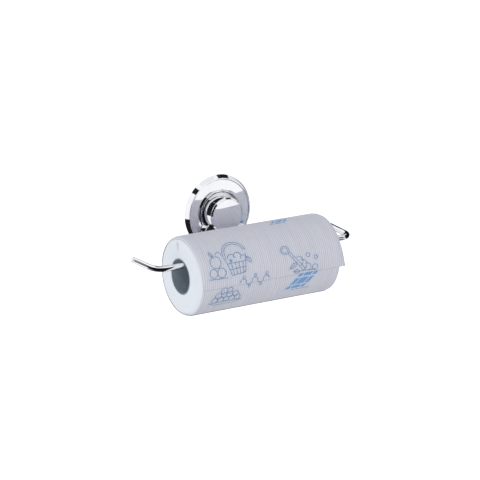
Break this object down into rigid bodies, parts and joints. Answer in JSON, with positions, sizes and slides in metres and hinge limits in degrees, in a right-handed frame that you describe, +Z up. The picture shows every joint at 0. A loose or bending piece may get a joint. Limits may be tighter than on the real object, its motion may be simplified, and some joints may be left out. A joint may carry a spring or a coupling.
{
  "type": "paper towel holder",
  "caption": "Wall-mounted chrome paper towel holder: a round screw-down suction mount carries a bent rod, open at one end, with a kitchen roll on it.",
  "frame": {"origin": "on the wall plane, on the suction mount's axis", "axes": "+X along the wall to the right for someone facing it, +Y into the wall, +Z up"},
  "size_m": [0.3541, 0.1436, 0.1615],
  "materials": {
    "chrome_plating": "mirror polished",
    "steel": "zinc plated",
    "brass": "machined",
    "black_plastic": "moulded",
    "white_nylon": "moulded",
    "black_rubber": "matt",
    "clear_pad": "soft, slightly clouded",
    "cardboard": "grey board",
    "paper": "matt",
    "printed_paper": "embossed, with a pale blue print"
  },
  "bodies": {
    "holder": {"suction_pad": "clear_pad", "pressure_plate": "black_plastic", "housing": "chrome_plating", "collar_ring": "chrome_plating", "bracket_body": "chrome_plating", "bracket_screws": "steel", "rod_bush": "black_plastic", "rod_grub_screw": "steel", "towel_rod": "chrome_plating", "thrust_washer": "white_nylon"},
    "stud": {"stud_flange": "steel", "threaded_stud": "steel"},
    "knob": {"knob_shell": "chrome_plating", "knob_face_disc": "chrome_plating", "knob_nut": "brass", "nut_retainer": "steel", "hub_o_ring": "black_rubber", "hub_clip": "steel"},
    "roll": {"core_tube": "cardboard", "paper_roll": "paper", "outer_sheet": "printed_paper"}
  },
  "joints": [
    {"name": "knob_turn", "type": "hinge", "parent": "holder", "child": "knob", "pos_m": [0, -0.0257, 0], "axis": [0, -1, 0], "range_deg": [0, 720]},
    {"name": "stud_slide", "type": "slide", "parent": "holder", "child": "stud", "axis": [0, 1, 0], "range_m": [0, 0.0026], "deforming": ["suction_pad"]},
    {"name": "roll_spin", "type": "hinge", "parent": "holder", "child": "roll", "pos_m": [0.0015, -0.089, -0.054], "axis": [1, 0, 0], "continuous": true}
  ],
  "couplings": [
    {"joint": "stud_slide", "follows": "knob_turn", "m_per_rad": 0.00019894}
  ]
}
